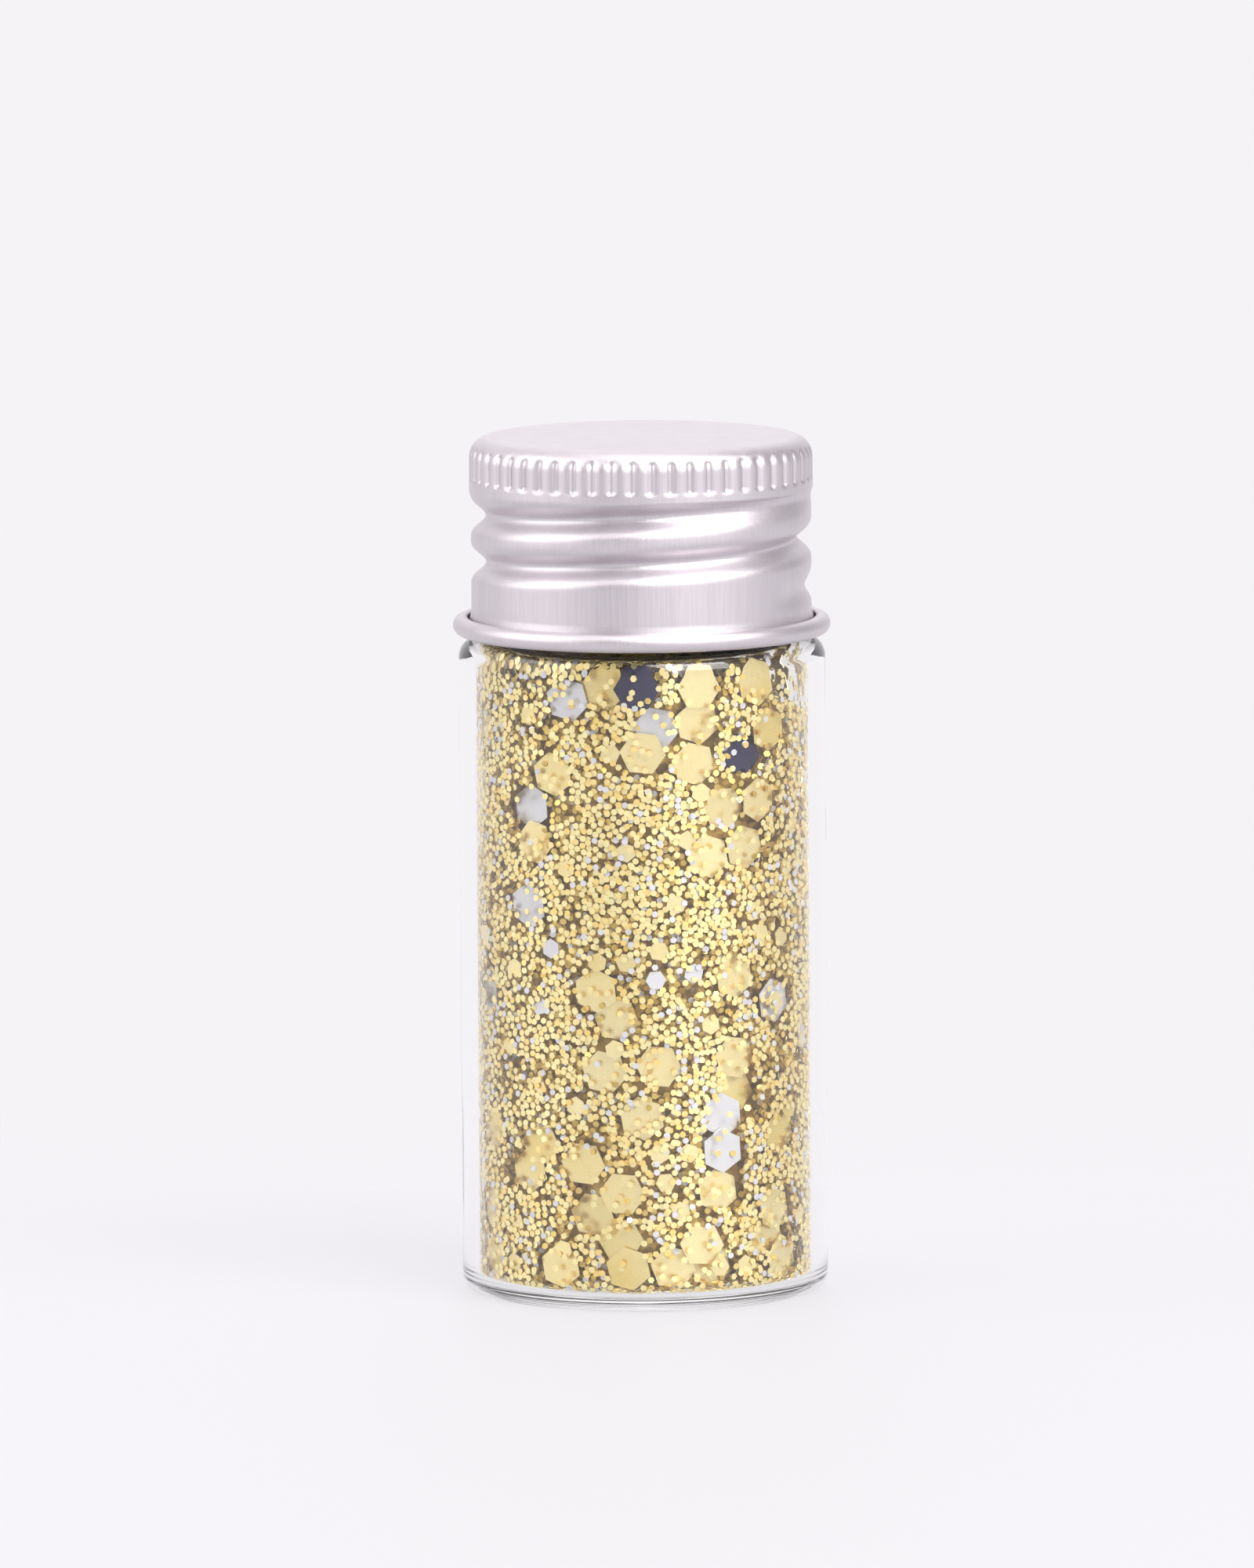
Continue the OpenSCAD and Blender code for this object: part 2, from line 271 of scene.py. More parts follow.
class GeometryTree(Tree):
    """A Geometry Nodes tree whose named inputs are set on the modifier that runs it."""

    def __init__(self, name: str) -> None:
        """Start a tree that takes a mesh and gives one back.

        Args:
            name: the tree's name.
        """
        group = bpy.data.node_groups.new(name, "GeometryNodeTree")
        group.interface.new_socket("Geometry", in_out="INPUT", socket_type="NodeSocketGeometry")
        group.interface.new_socket("Geometry", in_out="OUTPUT", socket_type="NodeSocketGeometry")
        super().__init__(group)
        self.entry = group.nodes.new("NodeGroupInput")
        self.identifiers: dict[str, str] = {}

    def named(self, name: str, kind: str = "NodeSocketFloat") -> Sock:
        """Add a named input.

        Args:
            name: the input's name.
            kind: Blender's name of the socket's type.

        Returns:
            The input as a socket to build with.
        """
        item = self.nodes.interface.new_socket(name, in_out="INPUT", socket_type=kind)
        self.identifiers[name] = item.identifier
        return Sock(self, self.entry.outputs[name])

    def geometry(self) -> Sock:
        """The mesh that the modifier is on."""
        return Sock(self, self.entry.outputs["Geometry"])

    def random(self, kind: str, low: Any, high: Any, seed: Sock) -> Sock:
        """A random value of a kind between low and high for each element."""
        inputs = {"Min": low, "Max": high, "Seed": seed}
        return self.add("FunctionNodeRandomValue", {"data_type": kind}, inputs, "Value")

    def stored(self, onto: Sock, kind: str, name: str, value: Sock, domain: str = "POINT") -> Sock:
        """The geometry with a value of a kind stored by name on each point or instance."""
        inputs = {"Geometry": onto, "Name": name, "Value": value}
        return self.add("GeometryNodeStoreNamedAttribute", {"data_type": kind, "domain": domain}, inputs)

    def read(self, kind: str, name: str) -> Sock:
        """A stored value, read back by name."""
        return self.add("GeometryNodeInputNamedAttribute", {"data_type": kind}, {"Name": name}, "Attribute")

    def finish(self, geometry: Sock, material: Sock) -> None:
        """Realize the instances, set the material and close the tree.

        Args:
            geometry: what the tree has made.
            material: the material's input.
        """
        real = self.add("GeometryNodeRealizeInstances", inputs={"Geometry": geometry})
        coated = self.add("GeometryNodeSetMaterial", inputs={"Geometry": real, "Material": material})
        self.close("NodeGroupOutput", "Geometry", coated)

    def run(self, guide: bpy.types.Object, values: Mapping[str, Any], name: str) -> bpy.types.Object:
        """Run the tree on a guide object and keep the result as a plain mesh.

        Args:
            guide: the object that carries the mesh the tree starts from.
            values: named input to value.
            name: name of the new piece.

        Returns:
            A new object with a plain mesh and no modifier.
        """
        modifier = guide.modifiers.new(name, "NODES")
        modifier.node_group = self.nodes
        for key, value in values.items():
            modifier[self.identifiers[key]] = value
        graph = bpy.context.evaluated_depsgraph_get()
        mesh = bpy.data.meshes.new_from_object(
            guide.evaluated_get(graph), preserve_all_data_layers=True, depsgraph=graph
        )
        guide.modifiers.remove(modifier)
        return linked(name, mesh)


# ---------------------------------------------------------------- mesh helpers


def linked(name: str, mesh: bpy.types.Mesh) -> bpy.types.Object:
    """A new object in the scene.

    Args:
        name: the object's name.
        mesh: its mesh.

    Returns:
        The object, at the origin.
    """
    mesh.name = name
    piece = bpy.data.objects.new(name, mesh)
    bpy.context.scene.collection.objects.link(piece)
    return piece


def removed(guide: bpy.types.Object) -> None:
    """Take a guide object and its mesh out of the file.

    Args:
        guide: the object, which no piece needs any longer.
    """
    mesh = guide.data
    bpy.data.objects.remove(guide)
    bpy.data.meshes.remove(mesh)


def arc(x: float, z: float, radius: float, start: float, end: float, step: float = 6.0) -> list[Point]:
    """Points of an arc in the half section.

    Args:
        x: the centre's distance from the axis.
        z: the centre's height.
        radius: the arc's radius.
        start: first angle in degrees.
        end: last angle in degrees.
        step: largest angle between two points.

    Returns:
        The points, both ends included.
    """
    count = max(1, math.ceil(abs(end - start) / step))
    angles = [math.radians(start + (end - start) * i / count) for i in range(count + 1)]
    return [(x + radius * math.cos(t), z + radius * math.sin(t)) for t in angles]


def climb(start: Point, end: Point, pitch: float, guard: float = 0.06) -> list[Point]:
    """Points along a straight stretch, with one close to each end so that smooth shading stays flat on it.

    Args:
        start: where it starts; this point is left out.
        end: where it ends; this point is left out.
        pitch: distance between points.
        guard: distance of the first and last points from the ends.

    Returns:
        The points between the two ends.
    """
    run = Vector(end) - Vector(start)
    length = run.length
    count = max(1, round((length - 2 * guard) / pitch))
    places = [guard + (length - 2 * guard) * i / count for i in range(count + 1)]
    return [tuple(Vector(start) + run * (p / length)) for p in places]


def lathe(
    name: str,
    section: Sequence[Point],
    columns: int,
    height: Callable[[float, float, float], float] | None = None,
) -> bpy.types.Mesh:
    """Turn a half section about the axis.

    Args:
        name: the mesh's name.
        section: points (distance from the axis, height); an end at distance 0 becomes a single point.
        columns: how many copies of the section go round.
        height: gives the height at (x, y, z) in place of the section's own.

    Returns:
        The smooth-shaded mesh, in metres; the faces point outwards when the section runs up the outside.
    """
    vertices: list[tuple[float, float, float]] = []
    rings: list[list[int]] = []
    for radius, z in section:
        count = 1 if radius == 0 else columns
        ring = []
        for i in range(count):
            x = radius * math.cos(TAU * i / columns)
            y = radius * math.sin(TAU * i / columns)
            ring.append(len(vertices))
            vertices.append((x * MM, y * MM, (height(x, y, z) if height else z) * MM))
        rings.append(ring)
    faces = []
    for low, high in zip(rings, rings[1:]):
        for i in range(columns):
            j = (i + 1) % columns
            corners = (low[i % len(low)], low[j % len(low)], high[j % len(high)], high[i % len(high)])
            faces.append(tuple(dict.fromkeys(corners)))
    mesh = bpy.data.meshes.new(name)
    mesh.from_pydata(vertices, [], faces)
    mesh.shade_smooth()
    return mesh


def eased(share: float) -> float:
    """A share held between 0 and 1, with soft ends."""
    share = min(1.0, max(0.0, share))
    return share * share * (3 - 2 * share)


def painted(mesh: bpy.types.Mesh, name: str, values: Iterable[float]) -> None:
    """Store one number for each vertex as a named attribute."""
    layer = mesh.attributes.new(name, "FLOAT", "POINT")
    layer.data.foreach_set("value", list(values))


def dressed(piece: bpy.types.Object, material: bpy.types.Material) -> bpy.types.Object:
    """Give a piece a material.

    Args:
        piece: the piece.
        material: its only material.

    Returns:
        The piece.
    """
    piece.data.materials.clear()
    piece.data.materials.append(material)
    return piece


def placed(piece: bpy.types.Object, body: str, slot: str, stands_for: Sequence[str] = ()) -> None:
    """Hand a finished piece to the frame, and report it.

    Args:
        piece: the piece.
        body: the body that it moves with.
        slot: the frame's name of its finish; not used.
        stands_for: the frame's nodes that it replaces.
    """
    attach(piece, body)
    if stands_for:
        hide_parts(*stands_for)
    log.info("%s: %d faces on body %s", piece.name, len(piece.data.polygons), body)


def refinished(node: str, material: bpy.types.Material) -> None:
    """Give one of the frame's own nodes its finish, and report it."""
    dressed(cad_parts[node], material)
    log.info("%s: the frame's own shape in %s", node, material.name)


# ---------------------------------------------------------------- finishes


@dataclass(frozen=True)
class ClearGlass:
    """Clear soda glass with the faint waves of drawn tube."""

    tint: Colour = (0.985, 0.99, 0.985)
    shadow_tint: Colour = (0.97, 0.975, 0.97)
    index: float = 1.5
    wave_depth: float = 0.012 * MM

    def build(self) -> bpy.types.Material:
        """The glass material.

        Returns:
            The material; lamps shine straight through it.
        """
        s = Shader("clear_glass")
        waves = s.noise(s.stretched((1, 1, 0.25)), 260, 1.5)
        glass = s.principled({
            "Base Color": (*self.tint, 1),
            "Roughness": 0.0,
            "IOR": self.index,
            "Transmission Weight": 1.0,
            "Normal": s.bump(waves, self.wave_depth),
        })
        open_way = s.add("ShaderNodeBsdfTransparent", inputs={"Color": (*self.shadow_tint, 1)})
        lamp = s.add("ShaderNodeLightPath", output="Is Shadow Ray")
        return s.done(s.add("ShaderNodeMixShader", inputs={0: lamp, 1: glass, 2: open_way}))


@dataclass(frozen=True)
class BrushedAluminium:
    """Satin aluminium sheet, finely brushed up and down."""

    colour: Colour = (0.71, 0.665, 0.70)
    roughness: float = 0.42
    streak_width: float = 0.09 * MM
    streak_depth: float = 0.010 * MM
    streak_shade: float = 0.84

    def build(self) -> bpy.types.Material:
        """The aluminium material.

        Returns:
            The material, with its colour and roughness following the brushing.
        """
        s = Shader("brushed_aluminium")
        streaks = s.noise(s.stretched((1, 1, 0.02)), 1 / self.streak_width, 3, 0.6)
        broad = s.noise(s.stretched((1, 1, 0.06)), 900, 2)
        haze = s.noise(s.place(), 160, 3)
        dark = tuple(self.streak_shade * c for c in self.colour)
        colour = s.blend((streaks * 0.7 + broad * 0.3).ramp(0.25, 0.75), (*dark, 1), (*self.colour, 1))
        return s.done(s.principled({
            "Base Color": colour,
            "Metallic": 1.0,
            "Roughness": self.roughness + (streaks - 0.5) * 0.16 + (haze - 0.5) * 0.12,
            "Normal": s.bump(streaks, self.streak_depth),
        }))


@dataclass(frozen=True)
class MetalFilm:
    """Metallised plastic film, cut into flakes; each flake may have a tone of its own."""

    name: str
    deep: Colour
    pale: Colour
    roughness: float = 0.3
    toned: bool = True
    metallic: float = 0.85

    def build(self) -> bpy.types.Material:
        """The film material.

        Returns:
            The material.
        """
        s = Shader(self.name)
        grain = s.noise(s.place(), 2600, 2)
        if self.toned:
            tone = s.add("ShaderNodeAttribute", {"attribute_name": "tone"}, output="Fac")
        else:
            tone = s.noise(s.place(), 130, 0).ramp(0.35, 0.62)
        mixed = (tone * 0.8 + grain * 0.2).clamped()
        middle = tuple(0.35 * a + 0.65 * b for a, b in zip(self.deep, self.pale))
        return s.done(s.principled({
            "Base Color": s.tinted(mixed, [(0.0, self.deep), (0.35, middle), (1.0, self.pale)]),
            "Metallic": self.metallic,
            "Roughness": self.roughness + (grain - 0.5) * 0.2,
            "Normal": s.bump(grain, 0.006 * MM, 0.3),
        }))


@dataclass(frozen=True)
class PackedFlakes:
    """What shows between the flakes in front: deeper flakes, mostly in shade, with that shade painted into
    their colour.
    """

    # Darkened gold for flakes in shade: the dark end is painted shade and the palest colour is a painted glint.
    deep: Colour = (0.16, 0.09, 0.01)
    pale: Colour = (0.70, 0.46, 0.10)
    painted_glint: Colour = (0.75, 0.66, 0.4)
    cell: float = 0.42 * MM

    def build(self) -> bpy.types.Material:
        """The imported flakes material.

        Returns:
            The material, with a tone and a step in height for each flake-sized cell.
        """
        s = Shader("packed_flakes")
        around = {"Vector": s.place(), "Scale": 1 / self.cell}
        cells = s.add("ShaderNodeTexVoronoi", {"feature": "F1"}, around, "Color")
        shade = s.add("ShaderNodeSeparateColor", inputs={"Color": cells})
        lumps = s.noise(s.place(), 500, 2)
        mixed = (shade * 0.7 + lumps * 0.4 - 0.1).clamped()
        return s.done(s.principled({
            "Base Color": s.tinted(mixed, [(0.0, self.deep), (0.75, self.pale), (1.0, self.painted_glint)]),
            "Metallic": 0.8,
            "Roughness": 0.35 + shade * 0.25,
            "Normal": s.bump(shade, 0.15 * MM, 0.8),
        }))


@dataclass(frozen=True)
class DiscFoam:
    """Closed-cell foam of the sealing disc."""

    colour: Colour = (0.86, 0.86, 0.82)
    cells_per_metre: float = 5200.0

    def build(self) -> bpy.types.Material:
        """The foam material.

        Returns:
            The material.
        """
        s = Shader("disc_foam")
        around = {"Vector": s.place(), "Scale": self.cells_per_metre}
        cells = s.add("ShaderNodeTexVoronoi", inputs=around, output="Distance")
        patches = s.noise(s.place(), 300, 3)
        shaded = tuple(0.86 * c for c in self.colour)
        return s.done(s.principled({
            "Base Color": s.blend(patches.ramp(0.3, 0.7), (*shaded, 1), (*self.colour, 1)),
            "Roughness": 0.75 + (patches - 0.5) * 0.2,
            "Normal": s.bump(cells, 0.03 * MM, 0.6),
        }))


@dataclass(frozen=True)
class PalePaper:
    """The plain surface that the vial stands on: lit white paper that fades out behind the vial."""

    colour: Colour = (0.085, 0.083, 0.086)
    glow: float = 0.72
    fade_from: float = 0.02
    fade_to: float = 0.085

    def build(self) -> bpy.types.Material:
        """The paper material.

        Returns:
            The material.
        """
        s = Shader("pale_paper")
        tooth = s.noise(s.place(), 900, 4)
        shaded = tuple(0.985 * c for c in self.colour)
        paper = s.principled({
            "Base Color": s.blend(tooth, (*shaded, 1), (*self.colour, 1)),
            "Roughness": 0.65,
            "Specular IOR Level": 0.2,
            "Emission Color": (0.98, 0.96, 1.0, 1),
            "Emission Strength": self.glow,
        })
        behind = s.axes(s.place())[1].ramp(self.fade_from, self.fade_to)
        clear = s.add("ShaderNodeBsdfTransparent")
        return s.done(s.add("ShaderNodeMixShader", inputs={0: behind, 1: paper, 2: clear}))


class Film(Enum):
    """The films that the flakes are cut from, and a darker copy of the gold film with painted shade."""

    GOLD = MetalFilm("gold_film", (0.98, 0.68, 0.17), (1.0, 0.91, 0.48), 0.42)
    # The gold film darkened with painted shade, for the deeper layers of fine flakes.
    SHADED_GOLD = MetalFilm("shaded_gold_film", (0.50, 0.34, 0.05), (0.96, 0.72, 0.22), 0.4)
    SILVER = MetalFilm("silver_film", (0.90, 0.88, 0.97), (0.98, 0.97, 1.0), 0.42, True, 0.5)
    LARGE_GOLD = MetalFilm("large_gold_film", (0.86, 0.66, 0.20), (1.0, 0.86, 0.46), 0.3, False)
    LARGE_SILVER = MetalFilm("large_silver_film", (0.90, 0.89, 0.96), (0.98, 0.97, 1.0), 0.32, False, 0.5)
    DARK = MetalFilm("dark_film", (0.015, 0.013, 0.035), (0.06, 0.055, 0.12), 0.2, False, 1.0)


# ---------------------------------------------------------------- bottle


@dataclass(frozen=True)
class GlassThread:
    """The helical ridge round the neck, with heights measured down from the rim."""

    lead: float = 2.8
    out: float = 0.65
    width: float = 1.3
    crest: float = 0.57
    turns: float = 1.5
    taper: float = 40.0
    start_drop: float = 6.14
    end_drop: float = 1.2

    def out_at(self, angle: float, drop: float) -> float:
        """How far the ridge stands out.

        Args:
            angle: degrees round the neck from +X.
            drop: distance below the rim.

        Returns:
            The distance, 0 beside the ridge.
        """
        last = 360 * (self.start_drop - self.end_drop) / self.lead
        first = last - 360 * self.turns
        highest = 0.0
        for lap in range(3):
            a = angle % 360 + 360 * lap
            off = abs(self.start_drop - self.lead * a / 360 - drop)
            share = eased((self.width / 2 - off) / ((self.width - self.crest) / 2))
            fade = min(1.0, max(0.0, min(a - first, last - a) / self.taper))
            highest = max(highest, share * fade)
        return self.out * highest


@dataclass
class Bottle:
    """The glass: body, shoulder, threaded neck and rim, all in one lathed wall."""

    radius: float
    rim_z: float
    wall: float = 1.0
    base: float = 0.8
    push_up: float = 0.3
    corner: float = 1.0
    inner_corner: float = 0.7
    foot_width: float = 1.2
    shoulder: float = 1.3
    shoulder_wall: float = 0.6
    neck_radius: float = 8.9
    neck_wall: float = 1.2
    neck_height: float = 10.5
    neck_fillet: float = 0.4
    rim_round: float = 0.4
    throat: float = 0.8
    roof_round: float = 0.5
    thread: GlassThread = GlassThread()
    columns: int = 240
    wall_pitch: float = 1.5
    bore_pitch: float = 1.0
    turn_pitch: float = 0.5
    thread_pitch: float = 0.22

    @classmethod
    def from_frame(cls) -> Bottle:
        """A bottle as wide and as tall as the frame's."""
        _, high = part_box("glass_vial")
        return cls(radius=high.x / MM, rim_z=high.z / MM)

    @property
    def inner_radius(self) -> float:
        """Radius of the inside of the wall."""
        return self.radius - self.wall

    @property
    def bore(self) -> float:
        """Radius of the neck's bore."""
        return self.neck_radius - self.neck_wall

    @property
    def shoulder_z(self) -> float:
        """Height where the neck leaves the shoulder."""
        return self.rim_z - self.neck_height

    @property
    def roof_z(self) -> float:
        """Height of the inside of the shoulder."""
        return self.shoulder_z - self.shoulder_wall

    def outside(self) -> list[Point]:
        """The section from the middle of the base up to the rim.

        Returns:
            The points, up the outside.
        """
        foot = self.radius - self.corner
        ring = foot - self.foot_width
        low = arc(foot, self.corner, self.corner, -90, 0)
        high = arc(self.radius - self.shoulder, self.shoulder_z - self.shoulder, self.shoulder, 0, 90)
        fillet = self.neck_fillet
        turn = arc(self.neck_radius + fillet, self.shoulder_z + fillet, fillet, 270, 180, 15)
        rim = arc(self.neck_radius - self.rim_round, self.rim_z - self.rim_round, self.rim_round, 0, 90, 10)
        dome = [(ring * k / 8, self.push_up * 0.5 * (1 + math.cos(math.pi * k / 8))) for k in range(9)]
        return [
            *dome, *climb(dome[-1], low[0], self.turn_pitch),
            *low, *climb(low[-1], high[0], self.wall_pitch),
            *high, *climb(high[-1], turn[0], self.turn_pitch),
            *turn, *climb(turn[-1], rim[0], self.thread_pitch), *rim,
        ]

    def inside(self) -> list[Point]:
        """The section from the rim down to the middle of the floor.

        Returns:
            The points, down the inside.
        """
        edge = arc(self.bore + self.rim_round, self.rim_z - self.rim_round, self.rim_round, 90, 180, 10)
        throat = arc(self.bore + self.throat, self.roof_z + self.throat, self.throat, 180, 270, 10)
        under = self.roof_round
        roof = arc(self.inner_radius - under, self.roof_z - under, under, 90, 0, 10)
        bend = self.inner_corner
        floor = arc(self.inner_radius - bend, self.base + bend, bend, 0, -90)
        return [
            *edge, *climb(edge[-1], throat[0], self.bore_pitch),
            *throat, *climb(throat[-1], roof[0], self.turn_pitch),
            *roof, *climb(roof[-1], floor[0], self.wall_pitch),
            *floor, *climb(floor[-1], (0.0, self.base), self.wall_pitch), (0.0, self.base),
        ]

    def build(self) -> None:
        """Make the glass and put it in place of the frame's."""
        section = [*self.outside(), *self.inside()]
        mesh = lathe("glass_bottle", section, self.columns)
        for v in mesh.vertices:
            if abs(math.hypot(v.co.x, v.co.y) / MM - self.neck_radius) < 0.001:
                out = self.thread.out_at(math.degrees(math.atan2(v.co.y, v.co.x)), self.rim_z - v.co.z / MM)
                v.co.xy *= 1 + out / self.neck_radius
        piece = linked("glass_bottle", mesh)
        dressed(piece, ClearGlass().build())
        placed(piece, "vial", "clear_glass", ["glass_vial"])


# ---------------------------------------------------------------- cap


@dataclass
class Cap:
    """One drawn aluminium shell: flat top, knurled band, rolled thread and a rolled edge at the open end."""

    top_z: float
    roll_outer: float
    rim_z: float
    shoulder_z: float
    neck_radius: float
    lead: float
    sheet: float = 0.25
    edge_radius: float = 1.25
    band_height: float = 1.9
    flutes: int = 54
    flute_depth: float = 0.25
    flute_columns: int = 8
    band_rows: int = 22
    skirt_rows: int = 46
    lining_rows: int = 30
    flute_above: float = 0.8
    flute_below: float = 0.5
    runout_above: float = 0.35
    runout_below: float = 0.3
    proud: float = 0.1
    neck_gap: float = 0.15
    groove_out: float = 0.9
    groove_width: float = 2.7
    groove_drop: float = 7.4
    groove_first: float = -41.0
    fade_in: float = 82.0
    fade_out: float = 100.0
    groove_stop: float = 0.1
    roll_diameter: float = 1.15
    roll_gap: float = 0.12
    mouth_above_roll: float = 0.25
    band_step: float = 0.5

    @classmethod
    def from_frame(cls, bottle: Bottle) -> Cap:
        """A cap that fills the frame's cap and fits the bottle.

        Args:
            bottle: the bottle that it screws on.

        Returns:
            The cap.
        """
        _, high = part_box("screw_cap")
        neck = (bottle.rim_z, bottle.shoulder_z, bottle.neck_radius, bottle.thread.lead)
        return cls(high.z / MM, high.x / MM, *neck)

    @property
    def skirt_radius(self) -> float:
        """Outside radius of the threaded skirt, between the turns of the groove."""
        return self.neck_radius + self.neck_gap + self.sheet + self.groove_out

    @property
    def band_radius(self) -> float:
        """Outside radius of the knurled band."""
        return self.skirt_radius + self.proud

    @property
    def band_top(self) -> float:
        """Height where the knurled band meets the rounded edge of the top."""
        return self.top_z - self.edge_radius

    @property
    def band_bottom(self) -> float:
        """Height of the foot of the knurled band."""
        return self.band_top - self.band_height

    @property
    def roll_z(self) -> float:
        """Height of the middle of the roll."""
        return self.shoulder_z + self.roll_gap + self.roll_diameter / 2

    @property
    def roll_centre(self) -> float:
        """Radius of the middle of the roll."""
        return self.roll_outer - self.roll_diameter / 2

    def section(self) -> tuple[list[Point], list[Point]]:
        """The plain half section before the flutes and the groove are rolled in.

        Returns:
            The points, from the middle of the top down the outside, round the roll and back up the inside to
            the middle, and for each point its share of the groove and of the flutes.
        """
        edge = self.band_radius - self.edge_radius
        bent = self.edge_radius - self.sheet
        roll = self.roll_diameter / 2
        mouth = self.roll_z + roll + self.mouth_above_roll
        outer: list[tuple[Point, Point]] = []
        outer += [((edge * k / 6, self.top_z), (0.0, 0.0)) for k in range(6)]
        for p in arc(edge, self.band_top, self.edge_radius, 90, 0, 4.5):
            outer.append((p, (0.0, self.flute_share(p[1]))))
        for k in range(1, self.band_rows):
            z = self.band_top - self.band_height * k / self.band_rows
            outer.append(((self.band_radius, z), (0.0, self.flute_share(z))))
        for k in range(self.skirt_rows + 1):
            z = self.band_bottom + (mouth - self.band_bottom) * k / self.skirt_rows
            outer.append(((self.skirt_at(z), z), (1.0, 0.0)))
        curl = (self.roll_centre, self.roll_z)
        outer += [(p, (0.0, 0.0)) for p in arc(*curl, roll - self.sheet, 180, 480, 22)]
        inner = [(p, (0.0, 0.0)) for p in arc(*curl, roll, 480, 180, 15)]
        for k in range(self.lining_rows + 1):
            z = mouth + (self.band_bottom - mouth) * k / self.lining_rows
            inner.append(((self.skirt_at(z) - self.sheet, z), (1.0, 0.0)))
        for k in (1, 2, 3):
            z = self.band_bottom + self.band_height * k / 4
            inner.append(((self.band_radius - self.sheet - self.flute_depth / 2, z), (0.0, 0.5)))
        inner += [(p, (0.0, 0.0)) for p in arc(edge, self.band_top, bent, 0, 90, 15)]
        inner += [((edge * k / 6, self.top_z - self.sheet), (0.0, 0.0)) for k in range(5, -1, -1)]
        both = outer + inner
        return [p for p, _ in both], [s for _, s in both]

    def flute_share(self, z: float) -> float:
        """How much of the flutes there is at a height: they run out over the edge and near the groove.

        Args:
            z: the height.

        Returns:
            The share, between 0 and 1.
        """
        below_top = (self.band_top + self.flute_above - z) / self.runout_above
        above_foot = (z - self.band_bottom - self.flute_below) / self.runout_below
        return eased(min(below_top, above_foot))

    def skirt_at(self, z: float) -> float:
        """Outside radius of the plain skirt at a height: it steps in below the band."""
        return self.skirt_radius + self.proud * eased((z - self.band_bottom) / self.band_step + 1)

    def rolling_tree(self) -> GeometryTree:
        """Geometry Nodes that press the flutes and the helical groove into the plain shell.

        Returns:
            The tree, with the sizes as named inputs.
        """
        t = GeometryTree("roll_flutes_and_groove")
        depth, width, height = (t.named(n) for n in ("Groove depth", "Groove width", "Groove height"))
        lead, flute_depth, flutes = (t.named(n) for n in ("Lead", "Flute depth", "Flutes"))
        first, last = t.named("Groove first"), t.named("Groove last")
        fade_in, fade_out = t.named("Fade in"), t.named("Fade out")
        material = t.named("Material", "NodeSocketMaterial")
        x, y, z = t.axes(t.add("GeometryNodeInputPosition"))
        radius = (x * x + y * y) ** 0.5
        turn = y.math("ARCTAN2", x)
        turn = turn + (turn < 0) * TAU
        deepest: Sock | None = None
        for lap in range(-1, 3):
            angle = turn + lap * TAU
            off = (z - height - lead * angle / TAU) / width
            shape = (off.clamped(-0.5, 0.5) * TAU).math("COSINE") * 0.5 + 0.5
            fade = ((angle - first) / fade_in).clamped().smallest(((last - angle) / fade_out).clamped())
            pressed = shape**1.6 * fade
            deepest = pressed if deepest is None else deepest.largest(pressed)
        valley = 1 - (turn * flutes / 2).math("SINE").math("ABSOLUTE") ** 0.55
        groove_share, flute_share = t.read("FLOAT", "groove_share"), t.read("FLOAT", "flute_share")
        sunk = deepest * depth * groove_share + valley * flute_depth * flute_share
        scale = 1 - sunk / radius.largest(MM)
        moved = t.add("ShaderNodeCombineXYZ", inputs={0: x * scale, 1: y * scale, 2: z})
        shell = t.add("GeometryNodeSetPosition", inputs={"Geometry": t.geometry(), "Position": moved})
        t.finish(shell, material)
        return t

    def build(self) -> None:
        """Make the cap and put it in place of the frame's."""
        points, shares = self.section()
        points.reverse()
        shares.reverse()
        columns = self.flutes * self.flute_columns
        shell = linked("cap_shell_guide", lathe("cap_shell_guide", points, columns))
        spread = [s for s, (radius, _) in zip(shares, points) for _ in range(columns if radius else 1)]
        painted(shell.data, "groove_share", [s[0] for s in spread])
        painted(shell.data, "flute_share", [s[1] for s in spread])
        groove_z = self.rim_z - self.groove_drop
        last = 360 * (self.band_bottom - self.groove_stop - groove_z) / self.lead
        piece = self.rolling_tree().run(shell, {
            "Groove depth": self.groove_out * MM,
            "Groove width": self.groove_width * MM,
            "Groove height": groove_z * MM,
            "Lead": self.lead * MM,
            "Flute depth": self.flute_depth * MM,
            "Flutes": float(self.flutes),
            "Groove first": math.radians(self.groove_first),
            "Groove last": math.radians(last),
            "Fade in": math.radians(self.fade_in),
            "Fade out": math.radians(self.fade_out),
            "Material": BrushedAluminium().build(),
        }, "aluminium_cap")
        removed(shell)
        placed(piece, "cap", "brushed_aluminium", ["screw_cap"])


# ---------------------------------------------------------------- flakes


@dataclass(frozen=True)
class Layer:
    """One depth of fine flakes behind the glass: where they lie, how they lean and where they thin out."""

    name: str
    inset: float
    spacing: float
    width: float
    lean: float
    depth: float
    seed: int
    over_large: float
    patchy: float
    film: Film
    follows_fill: bool = True


